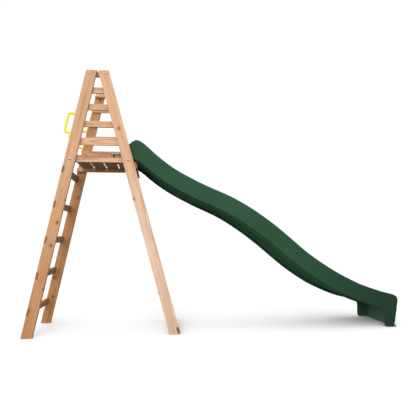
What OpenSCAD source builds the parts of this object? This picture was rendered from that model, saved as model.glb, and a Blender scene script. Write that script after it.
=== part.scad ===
// A-frame timber climbing stand with a moulded wave slide. Millimetres, +Z up, +X runs down the slide.
// Origin: on the ground and on the middle plane, halfway between the ladder's feet and the slide's nose.
// Right and left are those of a child on the ladder, who faces +X: right is -Y, left is +Y.

/* [Stand] */
// Height of the stand's top above the ground
frame_h = 2280; // [2250:1:2320]
// Depth of the stand over the outer faces of its legs
frame_d = 740; // [700:1:800]
// Width of a leg board
leg_w = 90; // [86:1:95]
// Thickness of a leg board
leg_t = 40; // [36:1:45]
// Lean of the ladder legs from upright, in degrees
ladder_lean = 12.4; // [12:0.1:13]
// Lean of the slide-side legs from upright, in degrees
slide_lean = 15.3; // [15:0.1:16]
// Gap between the legs' inner corners at the top
apex_gap = 8; // [4:1:12]
// Height of the block behind each pair of leg tops
block_h = 42; // [36:1:50]

/* [Deck] */
// Height of the deck's walking surface
deck_top = 1541; // [1530:1:1545]
// Thickness of a deck board
board_t = 20; // [18:1:22]
// Width of a deck board
board_w = 108; // [100:1:110]
// Gap between deck boards
board_gap = 15; // [10:1:17]
// Distance from the apex line back to the first deck board's edge
deck_back = 217; // [205:1:220]
// Side of the square deck beam
beam = 40; // [38:1:42]

/* [Rails and rungs] */
// Height of the three upper guard rails
rail_h = 54; // [45:1:60]
// Height of the lowest guard rail
low_rail_h = 64; // [54:1:70]
// Thickness of a guard rail
rail_t = 20; // [18:1:22]
// Height of the top rail's upper edge
rail_top = 2140; // [2130:1:2150]
// Distance from one rail's upper edge to the next
rail_pitch = 149; // [140:1:150]
// Height of a rung
rung_h = 60; // [55:1:65]
// Thickness of a rung
rung_t = 22; // [20:1:24]
// Height of the lowest rung's middle
rung_low = 215; // [205:1:220]
// Distance from one rung to the next
rung_pitch = 300; // [295:1:302]
// Height of the cross batten under the slide
batten_h = 48; // [40:1:56]
// Height of the cross batten's lower edge above the ground
batten_low = 1428; // [1420:1:1440]
// Thickness of the cross batten
batten_t = 19; // [16:1:22]
// Height of the foot brace between the slide-side legs
brace_h = 60; // [50:1:70]

/* [Slide] */
// Overall width of the slide
slide_w = 576; // [540:1:578]
// Thickness of the moulded skin
skin = 5; // [5:0.5:7]
// Height of the side walls above the bed, square to the bed
wall_h = 117; // [108:1:120]
// Depth of the side walls below the bed, square to the bed
edge_h = 30; // [24:1:34]
// Width of the hollow rim on each side
rim_w = 35; // [30:1:40]

/* [Handles] */
// Distance between a grab handle's two arms
handle_span = 171; // [160:1:180]
// Distance that a grab handle's grip stands off the leg
handle_out = 57; // [50:1:70]
// Diameter of the grab handle's grip
handle_d = 22; // [20:1:25]
// Height of the upper arm of a grab handle
handle_z = 1893; // [1880:1:1900]

/* [Fasteners] */
// Diameter of the coach bolts
bolt_d = 10; // [8:1:10]
// Diameter of the bolts' domed heads
bolt_head_d = 23; // [20:1:25]
// Diameter of the wood screws
screw_d = 5; // [4:0.5:5]
// Diameter of the wood screws' heads
screw_head_d = 10; // [9:0.5:11]

/* [Hidden] */
$fn = 32;
RIGHT = -1;
LEFT = 1;
SIDES = [RIGHT, LEFT];

timber = "burlywood";
end_timber = "peru";
moulding = "darkgreen";
handle_colour = "gold";
zinc = "silver";

fit = 0.15;              // radial clearance of a fastener in its hole
through = 1;             // how far a cutter runs past the face that it cuts

board_n = 4;             // deck boards
rail_n = 4;              // guard rails on a side
rung_n = 5;              // rungs of the ladder
slide_reach = 2742;      // from the apex line to the slide's nose

// --- Stand: the leg edges as functions of height ---
ladder_reach = apex_gap / 2 + leg_w / cos(ladder_lean) + frame_h * tan(ladder_lean);
apex_x = (ladder_reach - slide_reach) / 2;
function ladder_in(z) = apex_x - apex_gap / 2 - (frame_h - z) * tan(ladder_lean);
function ladder_out(z) = ladder_in(z) - leg_w / cos(ladder_lean);
function slide_in(z) = apex_x + apex_gap / 2 + (frame_h - z) * tan(slide_lean);
function slide_out(z) = slide_in(z) + leg_w / cos(slide_lean);
inside = frame_d / 2 - leg_t;      // from the middle plane to a leg's inner face
bay = 2 * inside;                  // clear width between the two frames

// --- Fastener places ---
apex_bolt_drop = 25;               // from the top of the legs down to the apex bolts
bolt_z = [frame_h - apex_bolt_drop, deck_top - board_t - beam / 2];   // apex bolts, then deck bolts
bolt_inset = [27, leg_w / 2];      // from the leg's outer edge
apex_screw_inset = 70;
bolt_grip = leg_t + beam;          // timber that a coach bolt passes through
bolt_tail = 4;                     // thread that stands out of a nut
washer_d = 24;
washer_t = 2;
nut_d = 19;                        // over a nut's corners
nut_t = 8;
dome_h = 6;
rail_screw_l = 45;
long_screw_l = 60;
rung_screw_dz = 16;                // half the distance between the two screws of a joint
batten_screw_dz = 11;
brace_screw_dz = 14;
board_screw_dx = 32;
slide_screw_in = 18;               // from the foot of the side walls to the lip's screws
slide_screw_y = [-150, 0, 150];
end_inset = leg_t / 2;             // a cross board's screws stand over the leg's middle

function rail_z(k) = rail_top - k * rail_pitch;           // upper edge of rail k, counted from 0
function rail_height(k) = k == rail_n - 1 ? low_rail_h : rail_h;
function rung_z(k) = rung_low + k * rung_pitch;           // middle of rung k, counted from 0
function board_x(k) = apex_x - deck_back + k * (board_w + board_gap);
brace_z = brace_h / 2 + 8;         // middle of the foot brace
rail_end_inset = 18;               // a rail's end stops this far inside the leg's outer edge

// --- Slide: side view curves, measured along X from the apex line ---
lip_x = 105;
lip_z = deck_top + 22;
wall_x = 185;                      // where the side walls rise from the lip
// The bed's line: place, height and fall per millimetre
BED = [
    [225, lip_z, 0], [332, 1544, -0.35], [440, 1474, -0.86], [600, 1352, -0.67], [857, 1211, -0.49],
    [1136, 1086, -0.49], [1354, 959, -0.67], [1573, 797, -0.81], [1791, 616, -0.81], [2020, 454, -0.63],
    [2248, 328, -0.48], [2387, 267, -0.37], [2675, 180, -0.21]
];
// The side wall's crest over the entry, which joins the rim at crest_end
CREST = [[wall_x, lip_z, 0.95], [263, 1645, 0.85], [334, 1692, 0], [440, 1628, -0.9]];
crest_end = 440;
nose = [slide_reach, 240];         // foremost point of the side wall
toe = [2699, 12];                  // foot of the front wall, on the base flange
roll = [2724, 156];                // where the bed has rolled over into the front wall
arch_start = 2525;                 // where the lower edge starts to turn down into the foot
arch = [2608, 115];                // top of the foot's upright rear edge
heel_x = arch[0];
heel_r = 24;                       // rounding at the bottom of that edge
flange = 17;
flange_t = 12;
// The keels under the side walls: how deep they reach below the bed at places along the slide
KEEL = [[264, 45], [600, 44], [1000, 52], [1300, 60], [2050, 64], [2300, 52], [2525, 36]];
keel_in = 26;                      // how far they stand in from the side walls' outer faces
hook_w = 24;                       // length of the lip's hooked end, which stands on the deck
web_w = 16;                        // width of the upright webs inside the foot's front corners
steps = 6;                         // straight stretches in each span of a curve

function bez(a, b, c, d, t) =
    pow(1 - t, 3) * a + 3 * pow(1 - t, 2) * t * b + 3 * (1 - t) * t * t * c + pow(t, 3) * d;
function span(a, b, t) =
    let (h = (b[0] - a[0]) / 3)
    bez([a[0], a[1]], [a[0] + h, a[1] + h * a[2]], [b[0] - h, b[1] - h * b[2]], [b[0], b[1]], t);
function slope(path, i) =
    let (a = path[max(i - 1, 0)], b = path[min(i + 1, len(path) - 1)]) (b[1] - a[1]) / (b[0] - a[0]);
function curve(nodes, n) = concat(
    [for (i = [0 : len(nodes) - 2]) for (k = [0 : n - 1]) span(nodes[i], nodes[i + 1], k / n)],
    [[nodes[len(nodes) - 1][0], nodes[len(nodes) - 1][1]]]
);
// The curve moved square to itself, as heights over the same places
function raised(path, d) =
    [for (i = [0 : len(path) - 1]) [path[i][0], path[i][1] + d * sqrt(1 + pow(slope(path, i), 2))]];
// The curve moved down, square to itself, by the keels' depth
function sunk(path) = [for (i = [0 : len(path) - 1])
    [path[i][0], path[i][1] - lookup(path[i][0], KEEL) * sqrt(1 + pow(slope(path, i), 2))]];
function between(path, x0, x1) = [for (p = path) if (p[0] > x0 && p[0] < x1) p];
function last(path) = path[len(path) - 1];
// A rounded corner from a to d, whose ends point at b and from c, without its first point
function corner(a, b, c, d) = [for (k = [1 : steps]) bez(a, b, c, d, k / steps)];
function reversed(path) = [for (i = [len(path) - 1 : -1 : 0]) path[i]];
function unit(v) = v / norm(v);
function along(path, i) = unit(path[min(i + 1, len(path) - 1)] - path[max(i - 1, 0)]);
// The path moved by t to the right of the way it runs
function beside(path, t) =
    [for (i = [0 : len(path) - 1]) path[i] + t * [along(path, i)[1], -along(path, i)[0]]];
function ribbon(path, t) = concat(path, reversed(beside(path, t)));

// The bed, and its roll over into the front wall
bed_line = curve(BED, steps);
roll_line = corner(last(bed_line), [2703, 174], [2728, 174], roll);
hook_foot = [lip_x + hook_w / 3, deck_top];
hook_top = [lip_x + hook_w, lip_z];
hook_line = corner(hook_foot, [lip_x - hook_w / 8, deck_top + 4], [lip_x, lip_z], hook_top);
front_line = [toe, [toe[0], 0]];
bed_path = concat([hook_foot], hook_line, [[wall_x, lip_z]], bed_line, roll_line, front_line);
// The rim over the side walls, and its fall round the nose
rim_line = concat(curve(CREST, steps), between(raised(bed_line, wall_h), crest_end, slide_reach));
nose_line = corner(last(rim_line), [2714, 290], [2745, 277], nose);
// The lower edge of the side walls: flat on the deck, then below the bed, then down into the foot
rest_end = board_n * (board_w + board_gap) - board_gap - deck_back + 4;
edge_line = concat([[wall_x, deck_top], [rest_end, deck_top]],
    between(raised(bed_line, -edge_h), rest_end + 20, arch_start));
keel_top = between(raised(bed_line, -edge_h), rest_end + 20, arch_start);
keel_foot = between(sunk(bed_line), rest_end + 20, arch_start);
arch_line = corner(last(edge_line), [2568, 177], [2606, 165], arch);
heel_line = corner([heel_x + heel_r, 0], [heel_x + heel_r / 2, 0], [heel_x, heel_r / 2], [heel_x, heel_r]);

// --- Placing ---
// A plate whose outline is drawn in X and Z, from depth y to y + t
module plate(y, t) translate([0, y + t, 0]) rotate([90, 0, 0]) linear_extrude(t) children();
// A leg-thick plate in the right or the left frame
module frame_plate(side) plate(side == RIGHT ? -frame_d / 2 : inside, leg_t) children();
// A plate of thickness t against the inner face of the right or the left frame
module inner_plate(side, t) plate(side == RIGHT ? -inside : inside - t, t) children();
// The +Z axis turned to point from a frame's outer side to its inner side
module inward(side) rotate([side * 90, 0, 0]) children();
module at_ladder_edge(z) translate([ladder_out(z), 0, z]) rotate([0, ladder_lean, 0]) children();
module at_slide_edge(z) translate([slide_out(z), 0, z]) rotate([0, -slide_lean, 0]) children();

// --- Fasteners, each drawn pointing along +Z with its head's seat at z = 0 ---
module dome(d, h) {
    r = (d * d / 4 + h * h) / (2 * h);
    intersection() {
        translate([0, 0, r - h]) sphere(r);
        translate([-d, -d, -h]) cube([2 * d, 2 * d, h]);
    }
}
module bolt() {
    dome(bolt_head_d, dome_h);
    cylinder(d = bolt_d, h = bolt_grip + washer_t + nut_t + bolt_tail);
}
module bolt_hole() translate([0, 0, -through]) cylinder(d = bolt_d + 2 * fit, h = bolt_grip + 2 * through);
module washer() translate([0, 0, bolt_grip]) difference() {
    cylinder(d = washer_d, h = washer_t);
    translate([0, 0, -through]) cylinder(d = bolt_d + 2 * fit, h = washer_t + 2 * through);
}
module nut() translate([0, 0, bolt_grip + washer_t]) difference() {
    cylinder(d = nut_d, h = nut_t, $fn = 6);
    translate([0, 0, -through]) cylinder(d = bolt_d + 2 * fit, h = nut_t + 2 * through);
}
screw_head_t = 3;
screw_sink = 1;                    // how far a head lies below the timber's face
module screw(l) {
    translate([0, 0, screw_sink]) cylinder(d1 = screw_head_d, d2 = screw_d, h = screw_head_t);
    translate([0, 0, screw_sink]) cylinder(d = screw_d, h = l - screw_sink);
}
module screw_hole(l) {
    translate([0, 0, -through]) cylinder(d = screw_head_d + 2 * fit, h = screw_sink + through);
    translate([0, 0, screw_sink])
        cylinder(d1 = screw_head_d + 2 * fit, d2 = screw_d + 2 * fit, h = screw_head_t);
    cylinder(d = screw_d + 2 * fit, h = l + through);
}

// --- Fastener places: each module puts its child at every place ---
module at_apex_bolts(side)
    for (x = [ladder_out(bolt_z[0]) + bolt_inset[0], slide_out(bolt_z[0]) - bolt_inset[0]])
        translate([x, side * frame_d / 2, bolt_z[0]]) inward(side) children();
module at_deck_bolts(side)
    for (x = [ladder_out(bolt_z[1]) + bolt_inset[1], slide_out(bolt_z[1]) - bolt_inset[1]])
        translate([x, side * frame_d / 2, bolt_z[1]]) inward(side) children();
module at_apex_screws(side)
    for (x = [ladder_out(bolt_z[0]) + apex_screw_inset, slide_out(bolt_z[0]) - apex_screw_inset])
        translate([x, side * frame_d / 2, bolt_z[0]]) inward(side) children();
module at_rail_screws(side, k) {
    z = rail_z(k) - rail_height(k) / 2;
    for (x = [ladder_out(z) + leg_w / 2, slide_out(z) - leg_w / 2])
        translate([x, side * (inside - rail_t), z]) inward(-side) children();
}
module at_rung_screws(side, k)
    at_ladder_edge(rung_z(k)) for (dz = [-rung_screw_dz, rung_screw_dz])
        translate([0, side * (frame_d / 2 - end_inset), dz]) rotate([0, 90, 0]) children();
module at_deck_screws(side, k)
    for (dx = [-board_screw_dx, board_screw_dx])
        translate([board_x(k) + board_w / 2 + dx, side * (inside - beam / 2), deck_top])
            rotate([180, 0, 0]) children();
module at_batten_screws(side)
    at_slide_edge(batten_low + batten_h / 2) for (dz = [-batten_screw_dz, batten_screw_dz])
        translate([batten_t, side * (frame_d / 2 - end_inset), dz]) rotate([0, -90, 0]) children();
module at_brace_screws(side)
    at_slide_edge(brace_z) for (dz = [-brace_screw_dz, brace_screw_dz])
        translate([0, side * (frame_d / 2 - end_inset), dz]) rotate([0, -90, 0]) children();
pad_screw = 30;                    // from an arm's middle to its pad's screw
module at_handle(side) at_ladder_edge(handle_z - handle_span / 2 * cos(ladder_lean))
    translate([0, side * (frame_d / 2 - leg_t / 2), 0]) children();
pad_t = 9;
module at_handle_screws(side) at_handle(side) for (up = [-1, 1])
    translate([-pad_t, 0, up * (handle_span / 2 + pad_screw)]) rotate([0, 90, 0]) children();
module at_slide_screws() for (y = slide_screw_y)
    translate([apex_x + wall_x + slide_screw_in, y, lip_z]) rotate([180, 0, 0]) children();

// --- Timber ---
module ladder_leg(side) color(timber) difference() {
    frame_plate(side) polygon([
        [ladder_out(0), 0], [ladder_in(0), 0], [ladder_in(frame_h), frame_h], [ladder_out(frame_h), frame_h]
    ]);
    for (k = [0 : rung_n - 1]) rung_bar(k, through);
    at_apex_bolts(side) bolt_hole();
    at_deck_bolts(side) bolt_hole();
    at_apex_screws(side) screw_hole(long_screw_l);
    for (k = [0 : rail_n - 1]) at_rail_screws(side, k) screw_hole(rail_screw_l);
    for (k = [0 : rung_n - 1]) at_rung_screws(side, k) screw_hole(long_screw_l);
    at_handle_screws(side) screw_hole(long_screw_l);
}
module slide_leg(side) color(timber) difference() {
    frame_plate(side) polygon([
        [slide_in(0), 0], [slide_out(0), 0], [slide_out(frame_h), frame_h], [slide_in(frame_h), frame_h]
    ]);
    brace_bar(through);
    at_apex_bolts(side) bolt_hole();
    at_deck_bolts(side) bolt_hole();
    at_apex_screws(side) screw_hole(long_screw_l);
    for (k = [0 : rail_n - 1]) at_rail_screws(side, k) screw_hole(rail_screw_l);
    at_batten_screws(side) screw_hole(long_screw_l);
    at_brace_screws(side) screw_hole(long_screw_l);
}
block_inset = 4;
module apex_block(side) color(timber) difference() {
    low = frame_h - block_h;
    inner_plate(side, beam) polygon([
        [ladder_out(low) + block_inset, low], [slide_out(low) - block_inset, low],
        [slide_out(frame_h) - block_inset, frame_h], [ladder_out(frame_h) + block_inset, frame_h]
    ]);
    at_apex_bolts(side) bolt_hole();
    at_apex_screws(side) screw_hole(long_screw_l);
}
module guard_rail(side, k) {
    top = rail_z(k);
    low = top - rail_height(k);
    color(timber) difference() {
        inner_plate(side, rail_t) polygon([
            [ladder_out(low) + rail_end_inset, low], [slide_out(low) - rail_end_inset, low],
            [slide_out(top) - rail_end_inset, top], [ladder_out(top) + rail_end_inset, top]
        ]);
        at_rail_screws(side, k) screw_hole(rail_screw_l);
    }
}
module deck_beam(side) {
    top = deck_top - board_t;
    low = top - beam;
    color(timber) difference() {
        inner_plate(side, beam) polygon([
            [ladder_out(low), low], [slide_out(low), low], [slide_out(top), top], [ladder_out(top), top]
        ]);
        at_deck_bolts(side) bolt_hole();
        for (k = [0 : board_n - 1]) at_deck_screws(side, k) screw_hole(rail_screw_l);
    }
}
module deck_board(k) color(timber) difference() {
    translate([board_x(k), -inside, deck_top - board_t]) cube([board_w, bay, board_t]);
    for (side = SIDES) at_deck_screws(side, k) screw_hole(rail_screw_l);
    at_slide_screws() slide_screw_hole();
}
// A rung let in flush with the ladder legs' outer edges, longer by extra at each end
module rung_bar(k, extra) at_ladder_edge(rung_z(k))
    translate([0, -frame_d / 2 - extra, -rung_h / 2]) cube([rung_t, frame_d + 2 * extra, rung_h]);
module rung(k) color(end_timber) difference() {
    rung_bar(k, 0);
    for (side = SIDES) at_rung_screws(side, k) screw_hole(long_screw_l);
}
module cross_batten() color(end_timber) difference() {
    at_slide_edge(batten_low + batten_h / 2)
        translate([0, -frame_d / 2, -batten_h / 2]) cube([batten_t, frame_d, batten_h]);
    for (side = SIDES) at_batten_screws(side) screw_hole(long_screw_l);
}
// The foot brace let in flush with the slide-side legs' outer edges
module brace_bar(extra) at_slide_edge(brace_z)
    translate([-rung_t, -frame_d / 2 - extra, -brace_h / 2])
        cube([rung_t + extra, frame_d + 2 * extra, brace_h]);
module foot_brace() color(end_timber) difference() {
    brace_bar(0);
    for (side = SIDES) at_brace_screws(side) screw_hole(long_screw_l);
}

// --- Slide: one hollow-backed moulding ---
slide_screw_l = 38;
boss_r = 14;
module slide_screw_hole() cylinder(d = screw_d + 2 * fit, h = slide_screw_l + through);
module drawn(y, t) translate([apex_x, 0, 0]) plate(y, t) children();
rim_path = concat(rim_line, nose_line, front_line);
outer_wall = concat(rim_path, [[heel_x + heel_r, 0]], heel_line, reversed(arch_line), reversed(edge_line));
inner_wall = concat(rim_path, [[toe[0] - web_w, 0], [roll[0] - 2 * web_w, roll[1]]], reversed(bed_line));
module slide() color(moulding) difference() {
    union() {
        drawn(rim_w - slide_w / 2 - skin, slide_w - 2 * rim_w + 2 * skin) polygon(ribbon(bed_path, skin));
        for (side = SIDES) {
            drawn(side * (slide_w - skin) / 2 - skin / 2, skin) polygon(outer_wall);
            drawn(side * (slide_w / 2 - rim_w + skin / 2) - skin / 2, skin) polygon(inner_wall);
            drawn(side * (slide_w - rim_w) / 2 - rim_w / 2, rim_w) polygon(ribbon(rim_path, skin));
            drawn(side * (slide_w - keel_in - skin) / 2 - (keel_in + skin) / 2, keel_in + skin)
                polygon(ribbon(keel_top, -skin));
            drawn(side * (slide_w / 2 - keel_in - skin / 2) - skin / 2, skin)
                polygon(concat(keel_top, reversed(keel_foot)));
        }
        slide_flange();
        at_slide_screws() cylinder(r = boss_r, h = lip_z - deck_top);
    }
    at_slide_screws() slide_screw_hole();
}
// The base flange, turned outward round the sides and the front of the foot
module slide_flange() translate([apex_x, 0, 0]) difference() {
    translate([heel_x + heel_r, -slide_w / 2 - flange, 0])
        cube([toe[0] + flange - heel_x - heel_r, slide_w + 2 * flange, flange_t]);
    translate([heel_x, skin / 2 - slide_w / 2, -through])
        cube([toe[0] - skin / 2 - heel_x, slide_w - skin, flange_t + 2 * through]);
}

// --- Grab handles ---
bend_r = 26;
pad_r = 14;
module grab_handle(side) color(handle_colour) difference() {
    at_handle(side) {
        rod = handle_d / 2;
        grip = handle_span - 2 * bend_r;
        translate([-handle_out, 0, -grip / 2]) cylinder(r = rod, h = grip);
        for (up = [-1, 1]) {
            translate([-pad_t, 0, up * handle_span / 2]) rotate([0, -90, 0])
                cylinder(r = rod, h = handle_out - bend_r - pad_t);
            translate([bend_r - handle_out, 0, up * grip / 2]) rotate([90, 0, 0])
                rotate([0, 0, up == 1 ? 90 : 180])
                    rotate_extrude(angle = 90) translate([bend_r, 0]) circle(rod);
            translate([-pad_t, 0, up * handle_span / 2]) rotate([0, 90, 0]) cylinder(r = pad_r, h = pad_t);
            translate([-pad_t, 0, up * (handle_span / 2 + pad_screw)]) rotate([0, 90, 0])
                cylinder(r = pad_r, h = pad_t);
            translate([-pad_t, -pad_r, up * (handle_span + pad_screw) / 2 - pad_screw / 2])
                cube([pad_t, 2 * pad_r, pad_screw]);
        }
    }
    at_handle_screws(side) screw_hole(long_screw_l);
}
cap_r = 10;
module handle_caps() color(handle_colour) for (side = SIDES) at_handle_screws(side)
    rotate([180, 0, 0]) mirror([0, 0, 1]) dome(2 * cap_r, 7);

// --- Hardware ---
module apex_bolts() color(zinc) for (side = SIDES) at_apex_bolts(side) bolt();
module deck_bolts() color(zinc) for (side = SIDES) at_deck_bolts(side) bolt();
module washers() color(zinc) for (side = SIDES) {
    at_apex_bolts(side) washer();
    at_deck_bolts(side) washer();
}
module nuts() color(zinc) for (side = SIDES) {
    at_apex_bolts(side) nut();
    at_deck_bolts(side) nut();
}
module apex_screws() color(zinc) for (side = SIDES) at_apex_screws(side) screw(long_screw_l);
module rail_screws() color(zinc)
    for (side = SIDES) for (k = [0 : rail_n - 1]) at_rail_screws(side, k) screw(rail_screw_l);
module rung_screws() color(zinc)
    for (side = SIDES) for (k = [0 : rung_n - 1]) at_rung_screws(side, k) screw(long_screw_l);
module deck_screws() color(zinc)
    for (side = SIDES) for (k = [0 : board_n - 1]) at_deck_screws(side, k) screw(rail_screw_l);
module batten_screws() color(zinc) for (side = SIDES) {
    at_batten_screws(side) screw(long_screw_l);
    at_brace_screws(side) screw(long_screw_l);
}
module handle_screws() color(zinc) for (side = SIDES) at_handle_screws(side) screw(long_screw_l);
module slide_screws() color(zinc) at_slide_screws() {
    dome(12, 3);
    cylinder(d = screw_d, h = slide_screw_l);
}

ladder_leg(RIGHT);  // ladder_leg_right
ladder_leg(LEFT);  // ladder_leg_left
slide_leg(RIGHT);  // slide_leg_right
slide_leg(LEFT);  // slide_leg_left
apex_block(RIGHT);  // apex_block_right
apex_block(LEFT);  // apex_block_left
for (k = [0 : rail_n - 1]) {
    guard_rail(RIGHT, k);
    guard_rail(LEFT, k);
}
deck_beam(RIGHT);  // deck_beam_right
deck_beam(LEFT);  // deck_beam_left
for (k = [0 : board_n - 1]) deck_board(k);
for (k = [0 : rung_n - 1]) rung(k);
cross_batten();
foot_brace();
slide();
grab_handle(RIGHT);  // grab_handle_right
grab_handle(LEFT);  // grab_handle_left
handle_caps();
apex_bolts();
deck_bolts();
washers();
nuts();
apex_screws();
rail_screws();
rung_screws();
deck_screws();
batten_screws();
handle_screws();
slide_screws();
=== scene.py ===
"""A timber A-frame climbing stand with a ladder, a railed deck and a moulded wave slide.

Metres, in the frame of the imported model: +Z up, +X down the slide, the ladder's right side at -Y.
The file follows the stand as it is put together, one section for each piece or group of like pieces.
"""
import math

import bmesh
import bpy
import numpy as np
from mathutils import Matrix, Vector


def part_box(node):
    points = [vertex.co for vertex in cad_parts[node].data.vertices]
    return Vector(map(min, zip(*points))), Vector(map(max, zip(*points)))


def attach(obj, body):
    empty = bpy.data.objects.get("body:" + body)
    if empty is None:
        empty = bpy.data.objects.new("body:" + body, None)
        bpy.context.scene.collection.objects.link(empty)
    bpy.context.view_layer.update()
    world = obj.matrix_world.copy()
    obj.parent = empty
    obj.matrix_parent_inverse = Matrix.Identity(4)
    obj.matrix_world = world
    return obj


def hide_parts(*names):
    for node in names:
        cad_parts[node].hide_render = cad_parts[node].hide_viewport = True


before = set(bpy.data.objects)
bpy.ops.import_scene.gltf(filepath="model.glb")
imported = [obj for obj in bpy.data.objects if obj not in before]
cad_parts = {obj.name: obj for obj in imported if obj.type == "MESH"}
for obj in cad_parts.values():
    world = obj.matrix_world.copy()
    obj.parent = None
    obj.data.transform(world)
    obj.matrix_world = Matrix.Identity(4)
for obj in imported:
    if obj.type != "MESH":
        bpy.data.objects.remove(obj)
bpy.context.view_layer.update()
scene = bpy.context.scene


# === Camera ===
# A camera at the height of a sitting person, on the right of the stand and a little past its middle,
# turned slightly towards the slide and slightly up.
SLIDE_REACH = 2.742
apex_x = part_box("slide")[1][0] - SLIDE_REACH      # the middle line between the two pairs of legs
camera_place = np.array([apex_x + 0.4817, -4.3543, 0.8391])
camera_yaw, camera_pitch, camera_roll = np.radians([6.86, 3.50, -0.22])
level = np.array([math.sin(camera_yaw), math.cos(camera_yaw), 0.0])
beside = np.array([math.cos(camera_yaw), -math.sin(camera_yaw), 0.0])
upright = np.array([0.0, 0.0, 1.0])
forward = level * math.cos(camera_pitch) + upright * math.sin(camera_pitch)
above = upright * math.cos(camera_pitch) - level * math.sin(camera_pitch)
right_edge = beside * math.cos(camera_roll) + above * math.sin(camera_roll)
top_edge = above * math.cos(camera_roll) - beside * math.sin(camera_roll)
camera_data = bpy.data.cameras.new("camera")
camera_data.sensor_width = 36.0
camera_data.lens = 39.74
camera = bpy.data.objects.new("camera", camera_data)
turn = np.eye(4)
turn[:3, :4] = np.column_stack([right_edge, top_edge, -forward, camera_place])
camera.matrix_world = Matrix(turn.tolist())
scene.collection.objects.link(camera)
scene.camera = camera


# === Studio ===
# A plain pale floor under an even white sky, with one broad soft light high on the left of the camera.
# What lies below the horizon lights the object only weakly, as a studio with a dark surround does.
scene.view_settings.view_transform = "Standard"


def add(tree, kind, inputs=None, **settings):
    """Adds a node to a tree. inputs maps a socket's name or number to a value or to another socket."""
    node = tree.nodes.new(kind)
    for name, value in settings.items():
        setattr(node, name, value)
    for key, value in (inputs or {}).items():
        if isinstance(value, bpy.types.NodeSocket):
            tree.links.new(value, node.inputs[key])
        else:
            node.inputs[key].default_value = value
    return node


def material_tree(name):
    """A new material, its node tree and its Principled BSDF, which already feeds the output."""
    made = bpy.data.materials.new(name)
    made.use_nodes = True
    return made, made.node_tree, made.node_tree.nodes["Principled BSDF"]


SKY, BELOW = 1.05, 0.19
DUSK_LOW, DUSK_HIGH = -0.14, -0.03                       # where the sky fades out, on a sphere of radius 1
world = bpy.data.worlds.new("studio")
scene.world = world
world.use_nodes = True
sky = world.node_tree
sky_way = add(sky, "ShaderNodeTexCoord")
sky_split = add(sky, "ShaderNodeSeparateXYZ", {0: sky_way.outputs["Generated"]})
sky_rays = add(sky, "ShaderNodeLightPath")
sky_below = add(sky, "ShaderNodeMapRange", {"Value": sky_rays.outputs["Is Glossy Ray"], "To Min": BELOW,
                                            "To Max": BELOW / 3})
sky_level = add(sky, "ShaderNodeMapRange", {
    "Value": sky_split.outputs["Z"], "From Min": DUSK_LOW, "From Max": DUSK_HIGH,
    "To Min": sky_below.outputs[0], "To Max": SKY})
sky_level.clamp = True
sky.links.new(sky_level.outputs[0], sky.nodes["Background"].inputs["Strength"])
sky.nodes["Background"].inputs["Color"].default_value = (1.0, 1.0, 1.0, 1.0)

FLOOR_HALF = 400.0
floor_corners = np.array([(-1, -1, 0), (1, -1, 0), (1, 1, 0), (-1, 1, 0)]) * FLOOR_HALF
floor_mesh = bpy.data.meshes.new("floor")
floor_mesh.from_pydata(floor_corners.tolist(), [], [(0, 1, 2, 3)])
floor = bpy.data.objects.new("floor", floor_mesh)
scene.collection.objects.link(floor)
floor_paint, _, floor_skin = material_tree("pale_floor")
floor_skin.inputs["Base Color"].default_value = (0.96, 0.96, 0.96, 1.0)
floor_skin.inputs["Roughness"].default_value = 0.9
floor_skin.inputs["Specular IOR Level"].default_value = 0.0
floor_mesh.materials.append(floor_paint)
floor.visible_diffuse = False
floor.visible_glossy = False


def soft_light(name, place, target, size, power):
    """A square lamp that faces a target."""
    lamp = bpy.data.lights.new(name, "AREA")
    lamp.shape, lamp.size, lamp.energy = "SQUARE", size, power
    made = bpy.data.objects.new(name, lamp)
    away = np.array(place, float) - np.array(target, float)
    away /= np.linalg.norm(away)
    side = np.cross((0.0, 0.0, 1.0), away)
    side /= np.linalg.norm(side)
    turned_to = np.eye(4)
    turned_to[:3, :4] = np.column_stack([side, np.cross(away, side), away, place])
    made.matrix_world = Matrix(turned_to.tolist())
    made.visible_glossy = False
    scene.collection.objects.link(made)


soft_light("main_light", place=(apex_x - 0.2, -5.6, 3.0), target=(apex_x + 1.1, 0.0, 0.9),
           size=4.0, power=240.0)


# === Legs ===
# Four planed softwood boards, 90 by 40 mm with eased edges, cut level at the head and at the foot. The pair
# on the ladder side leans by 12.4 degrees and the pair on the slide side by 15.3 degrees.
def linear(red, green, blue):
    """A paint colour given as 0 to 255 in the usual display scale, as the four linear values of a socket."""
    values = np.array([red, green, blue]) / 255.0
    values = np.where(values <= 0.04045, values / 12.92, ((values + 0.055) / 1.055) ** 2.4)
    return (*values.tolist(), 1.0)


def new_group(name, inputs, outputs):
    """An empty shader group with the named sockets, given as (name, kind) pairs."""
    group = bpy.data.node_groups.new(name, "ShaderNodeTree")
    for direction, sockets in (("INPUT", inputs), ("OUTPUT", outputs)):
        for label, kind in sockets:
            group.interface.new_socket(label, in_out=direction, socket_type="NodeSocket" + kind)
    return group, group.nodes.new("NodeGroupInput").outputs, group.nodes.new("NodeGroupOutput")


def calc(tree, operation, *values):
    """The output of a Math node over the given values or sockets."""
    return add(tree, "ShaderNodeMath", dict(enumerate(values)), operation=operation).outputs[0]


def summed(tree, start, *terms):
    """start plus, for each (value, centre, weight) term, (value - centre) * weight."""
    for value, centre, weight in terms:
        start = calc(tree, "MULTIPLY_ADD", calc(tree, "SUBTRACT", value, centre), weight, start)
    return start


def ramp(tree, value, low, high, to_low=0.0, to_high=1.0):
    """A smooth step: to_low where value is under low, to_high where it is over high."""
    return add(tree, "ShaderNodeMapRange", {"Value": value, "From Min": low, "From Max": high,
                                            "To Min": to_low, "To Max": to_high},
               interpolation_type="SMOOTHSTEP").outputs[0]


def stretched(tree, vector, scale):
    """The vector times a scale along each of its axes."""
    return add(tree, "ShaderNodeVectorMath", {0: vector, 1: scale}, operation="MULTIPLY").outputs[0]


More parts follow.
